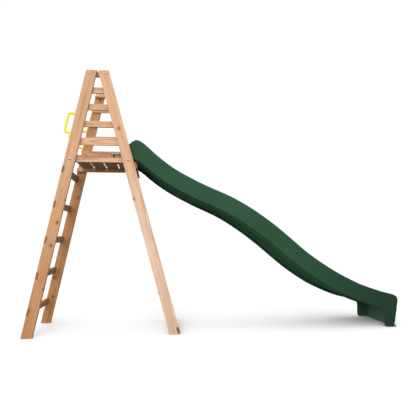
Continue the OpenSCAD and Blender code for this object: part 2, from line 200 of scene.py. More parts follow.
def noise(tree, vector, scale=1.0, detail=2.0, roughness=0.5):
    """The value of a noise texture, around 0.5."""
    return add(tree, "ShaderNodeTexNoise", {"Vector": vector, "Scale": scale, "Detail": detail,
                                            "Roughness": roughness}).outputs[0]


def blend(tree, factor, a, b, mode="MIX"):
    """A colour that goes from a to b as factor goes from 0 to 1."""
    node = add(tree, "ShaderNodeMix", {0: factor, 6: a, 7: b}, data_type="RGBA", blend_type=mode)
    return node.outputs[2]


# The timber's finish, under a light stain: growth rings cut along the board, fine fibres, a few knots,
# darker end grain, and arrises a little paler: a painted highlight where the eased edges catch light
wood, wood_in, wood_out = new_group(
    "wood_grain",
    [("Grain", "Vector"), ("Tone", "Float"), ("Tint", "Float"), ("End", "Float"), ("Arris", "Float"),
     ("Early Wood", "Color"), ("Late Wood", "Color"), ("Knot", "Color"), ("Figure", "Float")],
    [("Color", "Color"), ("Roughness", "Float"), ("Height", "Float")])
_, across, through = add(wood, "ShaderNodeSeparateXYZ", {0: wood_in["Grain"]}).outputs
# Knots: cells set apart along the board, of which about two in five hold a knot about 10 mm in radius
cells = add(wood, "ShaderNodeTexVoronoi", {"Vector": stretched(wood, wood_in["Grain"], (5.0, 6.5, 1.0)),
                                           "Scale": 1.0, "Randomness": 0.9}, voronoi_dimensions="2D")
cell_lot = add(wood, "ShaderNodeSeparateColor", {0: cells.outputs["Color"]}).outputs[0]
holds_knot = ramp(wood, cell_lot, 0.58, 0.62)
knot_far = cells.outputs["Distance"]
knot_pull = calc(wood, "MULTIPLY", holds_knot, ramp(wood, knot_far, 0.22, 0.0))
knot_core = calc(wood, "MULTIPLY", holds_knot, ramp(wood, knot_far, 0.075, 0.040))
knot_halo = calc(wood, "MULTIPLY", holds_knot, ramp(wood, knot_far, 0.16, 0.05))
# Growth rings: the distance from the tree's heart, which wanders along the board and swells round a knot
RINGS_A_METRE = 165.0
wander = noise(wood, stretched(wood, wood_in["Grain"], (1.3, 9.0, 9.0)), detail=1.0)
heart = calc(wood, "SQRT", calc(wood, "ADD", calc(wood, "MULTIPLY", across, across),
                                calc(wood, "MULTIPLY", through, through)))
heart = summed(wood, heart, (wander, 0.0, 0.030), (knot_pull, 0.0, 0.014))
ring = calc(wood, "FRACT", calc(wood, "MULTIPLY", heart, RINGS_A_METRE))
late = calc(wood, "MULTIPLY", ramp(wood, ring, 0.25, 0.88), ramp(wood, ring, 1.0, 0.90))
fibre = noise(wood, stretched(wood, wood_in["Grain"], (7.0, 330.0, 330.0)), detail=3.0, roughness=0.6)
broad = noise(wood, stretched(wood, wood_in["Grain"], (1.6, 30.0, 30.0)), detail=2.0)
streak = noise(wood, stretched(wood, wood_in["Grain"], (2.6, 75.0, 75.0)), detail=2.0)
figure = summed(wood, calc(wood, "MULTIPLY", late, wood_in["Figure"]), (fibre, 0.5, 0.55), (broad, 0.45, 1.0),
                (streak, 0.5, 0.75), (wood_in["End"], 0.0, 0.45), (knot_halo, 0.0, 0.5))
grain_colour = blend(wood, figure, wood_in["Early Wood"], wood_in["Late Wood"])
grain_colour = blend(wood, calc(wood, "MULTIPLY", knot_core, 0.60), grain_colour, wood_in["Knot"])
# The arrises' paler tone is a painted highlight
tone = summed(wood, 1.0, (wood_in["Tone"], 0.0, 0.08), (wood_in["Arris"], 0.0, 0.10))
grain_colour = add(wood, "ShaderNodeVectorMath", {0: grain_colour, "Scale": tone},
                   operation="SCALE").outputs[0]
# The stain: a board lies between bleached and full orange brown. On some boards a deeper stain is painted
# shade
grain_colour = blend(wood, wood_in["Tint"], grain_colour, (0.72, 0.47, 0.24, 1.0), "MULTIPLY")
wood.links.new(grain_colour, wood_out.inputs["Color"])
dullness = summed(wood, 0.50, (late, 0.0, -0.08), (fibre, 0.0, 0.22), (wood_in["End"], 0.0, 0.15))
wood.links.new(dullness, wood_out.inputs["Roughness"])
relief = summed(wood, 0.0, (fibre, 0.0, 0.6), (late, 0.0, 0.35), (knot_core, 0.0, -0.4))
wood.links.new(relief, wood_out.inputs["Height"])


def group_finish(name, effect, attributes, values, bump, constants):
    """A material whose colour, roughness and fine relief come from a shader group.

    attributes maps a piece's attribute to its output, and the group's input has its name; values and
    constants are the group's and the surface's own settings; bump is its (strength, depth in metres)."""
    made, tree, skin = material_tree(name)
    group = add(tree, "ShaderNodeGroup", values, node_tree=effect)
    if "Place" in group.inputs:
        tree.links.new(add(tree, "ShaderNodeTexCoord").outputs["Object"], group.inputs["Place"])
    for key, output in attributes.items():
        reading = add(tree, "ShaderNodeAttribute", attribute_name=key)
        tree.links.new(reading.outputs[output], group.inputs[key.title()])
    tree.links.new(group.outputs["Color"], skin.inputs["Base Color"])
    tree.links.new(group.outputs["Roughness"], skin.inputs["Roughness"])
    relief = add(tree, "ShaderNodeBump", {"Height": group.outputs["Height"], "Strength": bump[0],
                                          "Distance": bump[1]})
    tree.links.new(relief.outputs[0], skin.inputs["Normal"])
    for key, value in constants.items():
        skin.inputs[key].default_value = value
    return made


def timber(name, early, late_wood, knot, figure_depth):
    """A timber finish. It reads the board's own length, width and thickness from its grain attribute."""
    return group_finish(
        name, wood, {"grain": "Vector", "tone": "Fac", "tint": "Fac", "end": "Fac", "arris": "Fac"},
        {"Early Wood": early, "Late Wood": late_wood, "Knot": knot, "Figure": figure_depth},
        (0.35, 0.0006), {"Specular IOR Level": 0.35})


frame_timber = timber("honey_softwood", early=linear(228, 202, 180), late_wood=linear(172, 134, 106),
                      knot=linear(104, 62, 36), figure_depth=0.50)
LEG_W, LEG_T = 0.090, 0.040
EASE, RIM_STEP = 0.003, 0.85         # an eased edge's radius, and the share of it used round a sawn end
ladder_lean, slide_lean = np.radians([12.4, 15.3])
up_ladder = np.array([math.sin(ladder_lean), 0.0, math.cos(ladder_lean)])
up_slide = np.array([-math.sin(slide_lean), 0.0, math.cos(slide_lean)])
chance = np.random.default_rng(11)


def unit(v):
    """The vector, or each row of an array of vectors, at length 1."""
    v = np.asarray(v, float)
    return v / np.maximum(np.linalg.norm(v, axis=-1, keepdims=True), 1e-12)


def quads(rows, columns, wrap_rows=False, wrap_columns=False):
    """Four-sided faces of a grid whose vertices run row by row; each faces the way of row cross column."""
    i = np.arange(rows if wrap_rows else rows - 1)[:, None]
    j = np.arange(columns if wrap_columns else columns - 1)[None, :]
    i2, j2 = (i + 1) % rows, (j + 1) % columns
    corners = [i * columns + j, i2 * columns + j, i2 * columns + j2, i * columns + j2]
    return np.stack([np.broadcast_to(c, (i.size, j.size)) for c in corners], axis=-1).reshape(-1, 4)


def make_piece(name, points, faces, finish, nodes, attributes=None, normals=None):
    """A mesh object that stands for CAD nodes. attributes maps a name to one number or vector a vertex."""
    mesh = bpy.data.meshes.new(name)
    mesh.from_pydata(np.asarray(points).tolist(), [], faces)
    for key, values in (attributes or {}).items():
        flat = np.asarray(values, np.float32)
        vector = flat.ndim == 2
        layer = mesh.attributes.new(key, "FLOAT_VECTOR" if vector else "FLOAT", "POINT")
        layer.data.foreach_set("vector" if vector else "value", flat.ravel())
    mesh.polygons.foreach_set("use_smooth", np.ones(len(mesh.polygons), bool))
    if normals is not None:
        mesh.normals_split_custom_set_from_vertices(np.asarray(normals).tolist())
    mesh.materials.append(finish)
    made = bpy.data.objects.new(name, mesh)
    scene.collection.objects.link(made)
    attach(made, "root")
    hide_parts(*nodes)
    return made


def board(name, middle, run, broad_way, size, ends, finish, ease=EASE, tints=(0.64, 0.64), tone=0.0):
    """A planed board: a rectangle with quarter-round corners carried along run, up to a plane at each end.

    size is (width, thickness), and ends are two (point, outward normal) pairs. Each end's rim is rounded
    by rings that step inwards as the sine, and back from the plane as the cosine, of a quarter turn.
    tints are the depths of the stain at even places along the board, deepened on some boards as painted shade,
    and tone shifts its brightness."""
    run, broad_way = unit(run), unit(broad_way)
    thin_way = np.cross(run, broad_way)
    half = np.array(size) / 2 - ease
    quarter = np.radians([0.0, 30.0, 60.0, 90.0])
    angle = (quarter[None, :] + np.radians([0.0, 90.0, 180.0, 270.0])[:, None]).ravel()
    corner = np.repeat([[1, 1], [-1, 1], [-1, -1], [1, -1]], len(quarter), axis=0) * half
    way = np.column_stack([np.cos(angle), np.sin(angle)])
    full = corner + way * ease
    stops, outwards = np.array([end[0] for end in ends], float), unit([end[1] for end in ends])

    def reach(which, outline, back):
        """How far along run the outline's points lie, on the plane set back from one of the two ends."""
        base = middle + outline[:, :1] * broad_way + outline[:, 1:] * thin_way
        return ((stops[which] - outwards[which] * back - base) @ outwards[which]) / (run @ outwards[which])

    def rim(which, turn_angle, depth):
        """One ring of an end's rounded rim: its reach, outline, end, quarter-turn angle and stain."""
        outline = full - way * RIM_STEP * ease * (1 - math.sin(turn_angle))
        return reach(which, outline, ease * (1 - math.cos(turn_angle))), outline, which, turn_angle, depth

    rings = [rim(0, turn_angle, tints[0]) for turn_angle in quarter]
    near, far = rings[-1][0], reach(1, full, 0.0)
    for share, depth in list(zip(np.linspace(0, 1, len(tints)), tints))[1:-1]:
        rings.append((near * (1 - share) + far * share, full, 0, quarter[-1], depth))
    rings += [rim(1, turn_angle, tints[-1]) for turn_angle in quarter[::-1]]
    rows, columns = len(rings), len(angle)
    reaches, outlines = (np.array([ring[k] for ring in rings]) for k in (0, 1))
    which_end, turns, depths = (np.array([ring[k] for ring in rings]) for k in (2, 3, 4))
    points = middle + outlines[..., :1] * broad_way + outlines[..., 1:] * thin_way + reaches[..., None] * run
    side = way[:, :1] * broad_way + way[:, 1:] * thin_way
    lean_out = turns[:, None, None]
    normals = unit(side * np.sin(lean_out) + outwards[which_end][:, None] * np.cos(lean_out))
    on_corner = np.isin(np.arange(columns) % len(quarter), (1, 2))
    on_rim = (turns > 0.1) & (turns < 1.5)
    faces = quads(rows, columns, wrap_columns=True)[:, ::-1].tolist()
    faces.append(list(range(columns))[::-1])
    faces.append(list(range((rows - 1) * columns, rows * columns)))
    heart_place = np.array([chance.uniform(0, 40), chance.uniform(-0.4, 0.4) * size[0],
                            chance.choice([-1, 1]) * chance.uniform(0.03, 0.09)])
    place = np.concatenate([reaches[..., None], outlines], axis=-1).reshape(-1, 3)
    # arris marks the eased corners and the rims of the sawn ends, which take the painted highlight
    attributes = {"grain": place + heart_place, "end": np.repeat(np.cos(turns), columns),
                  "arris": (on_rim[:, None] | on_corner).ravel(),
                  "tint": np.repeat(depths, columns),
                  "tone": np.full(rows * columns, tone + chance.uniform(-0.5, 0.5))}
    return make_piece(name, points.reshape(-1, 3), faces, finish, [name], attributes,
                      normals.reshape(-1, 3))


def leg(node, run, lean, foot_edge, tints, tone):
    """A leg board between the ground and the stand's top; foot_edge is the x of its foot's outer corner."""
    low, high = np.array(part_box(node))
    foot_middle = foot_edge + math.copysign(LEG_W / 2 / math.cos(lean), run[0])
    middle = np.array([foot_middle, (low[1] + high[1]) / 2, 0.0])
    across_leg = (math.cos(lean), 0.0, -math.copysign(math.sin(lean), run[0]))
    ends = [(np.zeros(3), (0.0, 0.0, -1.0)), (np.array([0.0, 0.0, high[2]]), (0.0, 0.0, 1.0))]
    board(node, middle, run, across_leg, (LEG_W, LEG_T), ends, frame_timber,
          tints=tints, tone=tone)


# The left ladder leg, the far one, has a deeper stain all along as painted shade. The right ladder leg's stain
# deepens towards its foot, and the slide legs are paler, palest a third of the way up.
for side, tints in (("right", (0.95, 0.88, 0.70, 0.68)), ("left", (1.0, 1.0, 0.95, 0.90))):
    leg("ladder_leg_" + side, up_ladder, ladder_lean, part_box("ladder_leg_" + side)[0][0], tints, -0.3)
    leg("slide_leg_" + side, up_slide, slide_lean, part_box("slide_leg_" + side)[1][0],
        (0.36, 0.10, 0.62, 0.68), -0.2)


# === Top blocks, guard rails and deck beams ===
# Boards fixed across each pair of legs on their inner faces, with ends cut to the legs' two slopes.
# The blocks and beams are coach-bolted to the legs and the 20 mm rails are screwed.
def cross_board(node):
    """A level board whose two ends are parallel to the legs, widest at its lower edge."""
    low, high = np.array(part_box(node))
    middle = (low + high) / 2
    size = (high[2] - low[2], high[1] - low[1])
    ends = [(low, (-math.cos(ladder_lean), 0.0, math.sin(ladder_lean))),
            (np.array([high[0], 0.0, low[2]]), (math.cos(slide_lean), 0.0, math.sin(slide_lean)))]
    board(node, middle, (1, 0, 0), (0, 0, 1), size, ends, frame_timber, ease=0.0025)


RAILS = 4
for side in ("right", "left"):
    cross_board("apex_block_" + side)
    cross_board("deck_beam_" + side)
    for k in range(RAILS):
        cross_board(f"guard_rail_{side}_{k + 1}")


# === Deck boards ===
# Four softwood boards, 108 by 20 mm, laid across the two beams with 15 mm gaps for rain water. Two screws
# hold each end of each board.
DECK_BOARDS = 4
for k in range(DECK_BOARDS):
    node = f"deck_board_{k + 1}"
    low, high = np.array(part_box(node))
    ends = [(low, (0, -1, 0)), (high, (0, 1, 0))]
    # Their deeper stain is painted shade: the warm, saturated shade on the deck's underside
    board(node, (low + high) / 2, (0, 1, 0), (1, 0, 0), (high[0] - low[0], high[2] - low[2]), ends,
          frame_timber, tints=(0.85, 0.80, 0.85))


# === Rungs and cross timbers ===
# Boards with a darker stain, partly painted shade: five rungs let in to the outer edges of the ladder's legs,
# a batten across the slide's legs under the slide's top, and a brace let in near their feet. All stand half a
# millimetre proud.
RUNGS = 5
RUNG_H, RUNG_T = 0.060, 0.022
BATTEN_H, BATTEN_T = 0.048, 0.019
PROUD = 0.0005
out_of_ladder = np.array([-math.cos(ladder_lean), 0.0, math.sin(ladder_lean)])
out_of_slide = np.array([math.cos(slide_lean), 0.0, math.sin(slide_lean)])


# Darker than the frame's timber: a stain, made darker still as painted shade for boards that lie in shade
cross_timber = timber("brown_softwood", early=linear(206, 176, 150), late_wood=linear(150, 112, 84),
                      knot=linear(80, 48, 30), figure_depth=0.55)


def level_bar(node, up_way, outward, height, thickness):
    """A board across the stand: length along Y, height along up_way, thickness along outward."""
    low, high = np.array(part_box(node))
    ends = [(low - PROUD, (0, -1, 0)), (high + PROUD, (0, 1, 0))]
    board(node, (low + high) / 2 + outward * PROUD, (0, 1, 0), up_way, (height, thickness), ends,
          cross_timber, ease=0.002, tints=(1.0, 1.0))


for k in range(RUNGS):
    level_bar(f"rung_{k + 1}", up_ladder, out_of_ladder, RUNG_H, RUNG_T)
level_bar("cross_batten", up_slide, out_of_slide, BATTEN_H, BATTEN_T)
level_bar("foot_brace", up_slide, out_of_slide, RUNG_H, RUNG_T)


# === Slide ===
# One green moulding with a 5 mm skin: a bed that runs down in waves between two hollow rims, a lip that
# hooks on the deck, and an open foot on a turned-out flange. Three screws hold the lip to the deck.
SLIDE_W, RIM_W, SKIN = 0.576, 0.035, 0.005
WALL_H, EDGE_H = 0.117, 0.030
DECK_TOP = float(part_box("deck_board_1")[1][2])
LIP_RISE, LIP_GAP = 0.022, 0.004                         # the lip over the deck, and its last board's gap
LIP_Z = DECK_TOP + LIP_RISE
LIP_X, WALL_X, CREST_END, BED_END = 0.105, 0.185, 0.440, 2.675
# The bed's side view from the apex line: place, height and fall
BED = np.array([
    (0.225, LIP_Z, 0), (0.332, 1.544, -0.35), (0.440, 1.474, -0.86), (0.600, 1.352, -0.67),
    (0.857, 1.211, -0.49), (1.136, 1.086, -0.49), (1.354, 0.959, -0.67), (1.573, 0.797, -0.81),
    (1.791, 0.616, -0.81), (2.020, 0.454, -0.63), (2.248, 0.328, -0.48), (2.387, 0.267, -0.37),
    (BED_END, 0.180, -0.21)])
CREST = np.array([(WALL_X, LIP_Z, 0.95), (0.263, 1.645, 0.85), (0.334, 1.692, 0), (CREST_END, 1.628, -0.90)])
NOSE, TOE, ROLL = np.array([2.742, 0.240]), np.array([2.699, 0.012]), np.array([2.724, 0.156])
ARCH_START, HEEL, HEEL_R = 2.525, np.array([2.608, 0.115]), 0.024
# The keels that the side walls turn in to: how deep they reach below the bed, and how far in they stand
KEEL = np.array([(0.264, 0.045), (0.600, 0.044), (1.000, 0.052), (1.300, 0.060), (2.050, 0.064),
                 (2.300, 0.052), (2.525, 0.036)])
KEEL_IN = 0.026
REST_END = float(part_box("deck_board_4")[1][0]) - apex_x + LIP_GAP


def smooth_line(nodes, x):
    """Height and slope at x of the curve through nodes (x, height, slope): a cubic Hermite in each span."""
    k = np.clip(np.searchsorted(nodes[:, 0], x) - 1, 0, len(nodes) - 2)
    a, b = nodes[k], nodes[k + 1]
    h = b[:, 0] - a[:, 0]
    t = np.clip((x - a[:, 0]) / h, 0, 1)
    z = ((2 * t**3 - 3 * t**2 + 1) * a[:, 1] + (t**3 - 2 * t**2 + t) * h * a[:, 2]
         + (3 * t**2 - 2 * t**3) * b[:, 1] + (t**3 - t**2) * h * b[:, 2])
    slope = ((6 * t**2 - 6 * t) * (a[:, 1] - b[:, 1]) / h + (3 * t**2 - 4 * t + 1) * a[:, 2]
             + (3 * t**2 - 2 * t) * b[:, 2])
    return z, slope


def bend_line(a, b, c, d, count):
    """count points of the cubic Bezier curve a, b, c, d, without its first point."""
    t = np.linspace(0, 1, count + 1)[1:, None]
    a, b, c, d = (np.asarray(p, float) for p in (a, b, c, d))
    return (1 - t)**3 * a + 3 * (1 - t)**2 * t * b + 3 * (1 - t) * t**2 * c + t**3 * d


def straight(a, b, count):
    """count points from a to b, without a."""
    t = np.linspace(0, 1, count + 1)[1:, None]
    return np.asarray(a) * (1 - t) + np.asarray(b) * t


def spread(path, fractions):
    """Points of a path at the given fractions of its length."""
    run_length = np.concatenate([[0], np.cumsum(np.linalg.norm(np.diff(path, axis=0), axis=1))])
    return np.column_stack([np.interp(fractions * run_length[-1], run_length, path[:, k]) for k in (0, 1)])


CORNER_STEPS, FRONT_STEPS = 16, 12
GROUND_GAP = 0.0022                                      # the skin's outer edge stands this far off the ground
FRONT_GAP = 0.0004                                       # the nose stays this far inside the slide's reach
x = np.unique(np.concatenate([np.linspace(WALL_X, CREST_END, 34), np.linspace(CREST_END, ARCH_START, 130),
                              np.linspace(ARCH_START, BED_END, 34)]))
bed_z, fall = smooth_line(BED, np.maximum(x, BED[0, 0]))
stretch = np.sqrt(1 + fall**2)
rim_z = np.where(x < CREST_END, smooth_line(CREST, x)[0], bed_z + WALL_H * stretch)
below_z = bed_z - EDGE_H * stretch
easing = np.clip((x - REST_END) / 0.020, 0, 1)
edge_z = DECK_TOP * (1 - easing) + below_z * easing
bed_line = np.vstack([np.column_stack([x, bed_z]),
                      bend_line((BED_END, bed_z[-1]), (2.703, 0.174), (2.728, 0.174), ROLL, CORNER_STEPS),
                      straight(ROLL, TOE, FRONT_STEPS), [(TOE[0], GROUND_GAP)]])
rim_line = np.vstack([np.column_stack([x, rim_z]),
                      bend_line((BED_END, rim_z[-1]), (2.714, 0.290), (2.745, 0.277), NOSE, CORNER_STEPS),
                      straight(NOSE, TOE, FRONT_STEPS), [(TOE[0], GROUND_GAP)]])
rim_line[:, 0] = np.minimum(rim_line[:, 0], SLIDE_REACH - FRONT_GAP)
# The lower edge follows the bed as far as the arch, then runs down the heel and along the ground to the toe
before_arch = x <= ARCH_START
arch_top = np.array([ARCH_START, edge_z[before_arch][-1]])
foot_path = np.vstack([[arch_top], bend_line(arch_top, (2.568, 0.177), (2.606, 0.165), HEEL, 24),
                       straight(HEEL, (HEEL[0], HEEL_R), 8),
                       bend_line((HEEL[0], HEEL_R), (HEEL[0], HEEL_R / 2), (HEEL[0] + HEEL_R / 2, 0),
                                 (HEEL[0] + HEEL_R, 0), 8),
                       straight((HEEL[0] + HEEL_R, 0), (TOE[0], 0), 12)])
foot_steps = np.count_nonzero(~before_arch)
pace = np.concatenate([np.linspace(0, 0.72, foot_steps + 1)[1:], np.linspace(0.72, 1, CORNER_STEPS + 1)[1:],
                       np.ones(FRONT_STEPS + 1)])
edge_line = np.vstack([np.column_stack([x, edge_z])[before_arch], spread(foot_path, pace)])
edge_line[:, 1] = np.maximum(edge_line[:, 1], GROUND_GAP)


def rise(t):
    """A smooth step from 0 at t = 0 to 1 at t = 1."""
    t = np.clip(t, 0, 1)
    return t * t * (3 - 2 * t)


hang = rise((x - REST_END - 0.020) / 0.060) * rise((ARCH_START - x) / 0.110)
keel_drop = np.zeros(len(edge_line))
keel_drop[:len(x)] = (np.interp(x, KEEL[:, 0], KEEL[:, 1]) - EDGE_H) * stretch * hang
keel_inset = np.zeros(len(edge_line))
keel_inset[:len(x)] = KEEL_IN * hang

FILLET, RIM_R = 0.020, 0.009
half_w, inner = SLIDE_W / 2, SLIDE_W / 2 - RIM_W
turn_up = np.radians(np.linspace(0, 90, 7))
wall_height = np.linalg.norm(rim_line - bed_line, axis=1)
climb = unit(np.where(wall_height[:, None] > 1e-5, rim_line - bed_line, (0.0, 1.0)))
tall = wall_height[:, None]
low_r, high_r = np.minimum(FILLET, 0.45 * tall), np.minimum(RIM_R, 0.45 * tall)
flat_y = np.linspace(0, inner - FILLET, 7)[:-1]
rows = len(bed_line)
one = np.ones((rows, 1))
# One half of the cross-section, from the middle outwards: (distance from the middle, height over the bed)
section_y = np.hstack([one * flat_y, one * (inner - FILLET * (1 - np.sin(turn_up))), one * inner,
                       one * (inner + RIM_R * (1 - np.cos(turn_up))),
                       one * (half_w - RIM_R * (1 - np.sin(turn_up)))])
section_h = np.hstack([np.zeros((rows, flat_y.size)), low_r * (1 - np.cos(turn_up)),
                       (low_r + tall - high_r) / 2,
                       tall - high_r * (1 - np.sin(turn_up)), tall - high_r * (1 - np.cos(turn_up))])
section_xz = bed_line[:, None, :] + section_h[:, :, None] * climb[:, None, :]
shoulder = section_xz[:, -1:, :]
down = np.append(np.linspace(0, 1, 8)[1:-1], (0.985, 1.0))[None, :, None]
wall_xz = shoulder * (1 - down) + edge_line[:, None, :] * down
fold = np.array([[0.08, 0.54, 1.0]])
keel_xz = edge_line[:, None, :] - (keel_drop[:, None] * fold)[:, :, None] * np.array([0.0, 1.0])
half_xz = np.concatenate([section_xz, wall_xz, keel_xz], axis=1)
half_y = np.hstack([section_y, np.full((rows, down.size), half_w), half_w - keel_inset[:, None] * fold])
half_h = np.hstack([section_h, tall * (1 - down[0, :, 0]), -keel_drop[:, None] * fold])
columns, full_columns = half_y.shape[1], 2 * half_y.shape[1] - 1
full_xz = np.concatenate([half_xz[:, :0:-1], half_xz], axis=1)
full_y = np.hstack([-half_y[:, :0:-1], half_y])
full_h = np.hstack([half_h[:, :0:-1], half_h])
slide_points = np.stack([full_xz[..., 0] + apex_x, full_y, full_xz[..., 1]], axis=-1)
run_s = np.concatenate([[0], np.cumsum(np.linalg.norm(np.diff(bed_line, axis=0), axis=1))])
# The columns of the bed, and those round the rim's inner edge, which rub against clothes and hands
from_middle = np.abs(np.arange(full_columns) - (columns - 1))
on_bed = from_middle < len(flat_y) + 2
on_rim = np.abs(from_middle - (len(flat_y) + 13)) < 4
# The lip: the bed's middle columns carried back over the deck and hooked down to it
HOOK_W = 0.024
hook_foot, hook_top = (LIP_X + HOOK_W / 3, DECK_TOP), (LIP_X + HOOK_W, LIP_Z)
hook_bend = bend_line(hook_foot, (LIP_X - HOOK_W / 8, DECK_TOP + 0.004), (LIP_X, LIP_Z), hook_top, 10)
lip_line = np.vstack([[hook_foot], hook_bend, straight(hook_top, (WALL_X, LIP_Z), 4)])
lip_half = np.concatenate([flat_y, inner - FILLET * (1 - np.sin(turn_up))])
lip_y = np.concatenate([-lip_half[:0:-1], lip_half])
lip_points = np.stack([np.repeat(lip_line[:, :1] + apex_x, lip_y.size, 1), np.tile(lip_y, (len(lip_line), 1)),
                       np.repeat(lip_line[:, 1:], lip_y.size, 1)], axis=-1)
skin_points = np.vstack([slide_points.reshape(-1, 3), lip_points.reshape(-1, 3)])
skin_faces = np.vstack([quads(rows, full_columns), quads(len(lip_line), lip_y.size) + rows * full_columns])
# Each point's run: how far down the slide it lies, how far across, and how high over the bed
run_vector = np.vstack([
    np.stack([np.repeat(run_s[:, None], full_columns, 1), full_y, full_h], axis=-1).reshape(-1, 3),
    np.stack([np.repeat(lip_line[:, :1] - WALL_X, lip_y.size, 1), lip_points[..., 1],
              np.zeros(lip_points.shape[:2])], axis=-1).reshape(-1, 3)])
bed_mask = np.concatenate([np.tile(on_bed, rows), np.ones(lip_points[..., 0].size)])
rim_mask = np.concatenate([np.tile(on_rim, rows), np.zeros(lip_points[..., 0].size)])

moulded, moulded_in, moulded_out = new_group(
    "moulded_plastic",
    [("Place", "Vector"), ("Run", "Vector"), ("Bed", "Float"), ("Rim", "Float"), ("Foot_Shade", "Float"),
     ("Base", "Color"), ("Worn", "Color"), ("Polish", "Float")],
    [("Color", "Color"), ("Roughness", "Float"), ("Height", "Float")])
mottle = noise(moulded, moulded_in["Place"], scale=3.0, detail=3.0)
speckle = noise(moulded, moulded_in["Place"], scale=240.0, detail=2.0)
leather = noise(moulded, moulded_in["Place"], scale=950.0, detail=1.0)
streaks = noise(moulded, stretched(moulded, moulded_in["Run"], (2.2, 150.0, 40.0)), detail=4.0, roughness=0.7)
scuff = calc(moulded, "MULTIPLY", ramp(moulded, streaks, 0.54, 0.72), moulded_in["Bed"])
wear = summed(moulded, 0.0, (scuff, 0.0, 0.30), (moulded_in["Rim"], 0.0, 0.10), (speckle, 0.5, 0.30),
              (mottle, 0.42, 0.55))
moulded_colour = blend(moulded, wear, moulded_in["Base"], moulded_in["Worn"])
# Darker by up to 42 % towards the slide's foot and on the flange: painted shade near the ground
foot_shading = summed(moulded, 1.0, (moulded_in["Foot_Shade"], 0.0, -0.42))
moulded_colour = add(moulded, "ShaderNodeVectorMath", {0: moulded_colour, "Scale": foot_shading},
                     operation="SCALE").outputs[0]
moulded.links.new(moulded_colour, moulded_out.inputs["Color"])
gloss = summed(moulded, moulded_in["Polish"], (moulded_in["Bed"], 0.0, -0.08), (scuff, 0.0, 0.20),
               (mottle, 0.5, 0.25))
moulded.links.new(gloss, moulded_out.inputs["Roughness"])
moulded.links.new(summed(moulded, leather, (speckle, 0.0, 0.8)), moulded_out.inputs["Height"])


def plastic(name, base, worn, polish, bump_depth, shine=0.5):
    """A moulded plastic finish, patterned in place and, on a piece with a run attribute, along its run."""
    return group_finish(name, moulded, {"run": "Vector", "bed": "Fac", "rim": "Fac", "foot_shade": "Fac"},
                        {"Base": base, "Worn": worn, "Polish": polish}, (0.3, bump_depth),
                        {"Specular IOR Level": shine})


green_plastic = plastic("green_moulding", base=linear(36, 71, 48), worn=linear(66, 110, 80), polish=0.50,
                        bump_depth=0.0004, shine=0.22)
# The hidden side's lighter green is painted light: it lifts the shade on the slide's underside and inside its
# walls
green_back = plastic("green_moulding_back", base=linear(64, 116, 84), worn=linear(92, 142, 110), polish=0.66,
                     bump_depth=0.0008, shine=0.20)
FOOT_SHADE_START, FOOT_SHADE_RUN = 1.9, 0.75                       # where the painted shade towards the ground starts, and the run over which it grows full
slide = make_piece("slide_moulding", skin_points, skin_faces.tolist(), green_plastic,
                   ["slide"], {"run": run_vector, "bed": bed_mask, "rim": rim_mask,
                               "foot_shade": rise((skin_points[:, 0] - apex_x - FOOT_SHADE_START) / FOOT_SHADE_RUN)})


def close_seams(piece):
    """Joins vertices that lie on each other, which also drops faces without area."""
    work = bmesh.new()
    work.from_mesh(piece.data)
    bmesh.ops.remove_doubles(work, verts=work.verts, dist=2e-5)
    bmesh.ops.dissolve_degenerate(work, dist=1e-6, edges=work.edges)
    work.to_mesh(piece.data)
    work.free()


def finish_shell(piece, thickness, rounding, back):
    """Gives a sheet its thickness on its hidden side, which has its own finish, and rounds its cut edges."""
    piece.data.materials.append(back)
    wall = piece.modifiers.new("skin", "SOLIDIFY")
    wall.material_offset = 1
    wall.thickness, wall.offset = thickness, -1.0
    wall.use_even_offset = False
    edge = piece.modifiers.new("cut_edges", "BEVEL")
    edge.width, edge.segments = rounding, 2
    edge.limit_method, edge.angle_limit = "ANGLE", math.radians(70)
    edge.harden_normals = True


close_seams(slide)
finish_shell(slide, SKIN, rounding=0.0012, back=green_back)

# The base flange, turned outward round the sides and the front of the foot: one section carried along them
FLANGE_T = 0.012
flange_start = HEEL[0] + HEEL_R
corner_turn = np.radians(np.linspace(-90, 0, 9))
flange_path = np.vstack([
    np.column_stack([np.linspace(flange_start, TOE[0], 5), np.full(5, -half_w)]),
    np.full((9, 2), (TOE[0], -half_w)), np.full((9, 2), (TOE[0], half_w)),
    np.column_stack([np.linspace(TOE[0], flange_start, 5), np.full(5, half_w)])])
flange_way = np.concatenate([np.full(5, -math.pi / 2), corner_turn, corner_turn + math.pi / 2,
                             np.full(5, math.pi / 2)])
flange_section = np.array([(-0.003, 0), (0.014, 0), (0.0168, 0.002), (0.0168, 0.008), (0.0155, 0.0105),
                           (0.0125, FLANGE_T), (-0.003, FLANGE_T)])
outward = np.column_stack([np.cos(flange_way), np.sin(flange_way)])
flange_xy = flange_path[:, None, :] + flange_section[None, :, :1] * outward[:, None, :] + (apex_x, 0.0)
stations, ring_n = flange_xy.shape[:2]
flange_z = np.tile(flange_section[:, 1], (stations, 1))
flange_points = np.concatenate([flange_xy, flange_z[..., None]], axis=-1)
flange_faces = quads(stations, ring_n, wrap_columns=True).tolist()
flange_faces += [list(range(ring_n))[::-1], list(range((stations - 1) * ring_n, stations * ring_n))]
# The flange on the ground carries the full painted shade
flange = make_piece("slide_foot_flange", flange_points.reshape(-1, 3), flange_faces, green_plastic,
                    ["slide"], {"foot_shade": np.ones(flange_points.size // 3)})
close_seams(flange)


